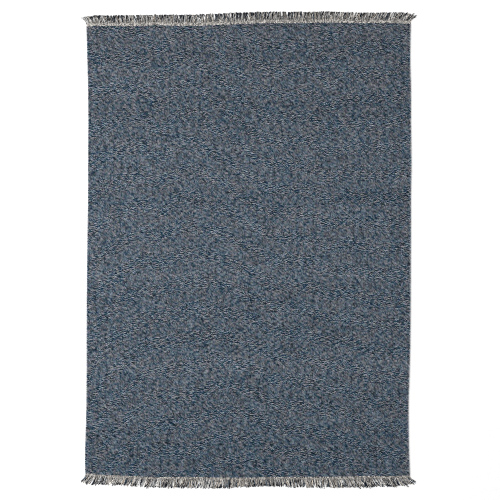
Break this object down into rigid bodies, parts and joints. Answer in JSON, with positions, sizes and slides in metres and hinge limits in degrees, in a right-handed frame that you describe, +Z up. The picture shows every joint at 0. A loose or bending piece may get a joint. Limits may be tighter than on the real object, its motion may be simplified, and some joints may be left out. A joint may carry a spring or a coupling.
{
  "type": "flatweave rug",
  "caption": "Rectangular flatweave area rug, mottled blue-grey, lying flat, with a cream woven heading and a short warp fringe at each end.",
  "frame": {"origin": "middle of the rug's outline, fringe included, on the floor", "axes": "+Y along the length to the far end, which is the upper end in the picture; +X to the right across the width; +Z up"},
  "size_m": [1.3753, 1.9634, 0.005],
  "materials": {
    "field_cloth": "matte woven wool-like yarn, mottled navy, blue-grey and beige-grey",
    "far_fringe_yarn": "matte cream and dark blue-grey yarn",
    "near_fringe_yarn": "matte cream and dark blue-grey yarn"
  },
  "bodies": {
    "root": {"rug_field": "field_cloth", "far_fringe": "far_fringe_yarn", "near_fringe": "near_fringe_yarn"}
  },
  "joints": []
}
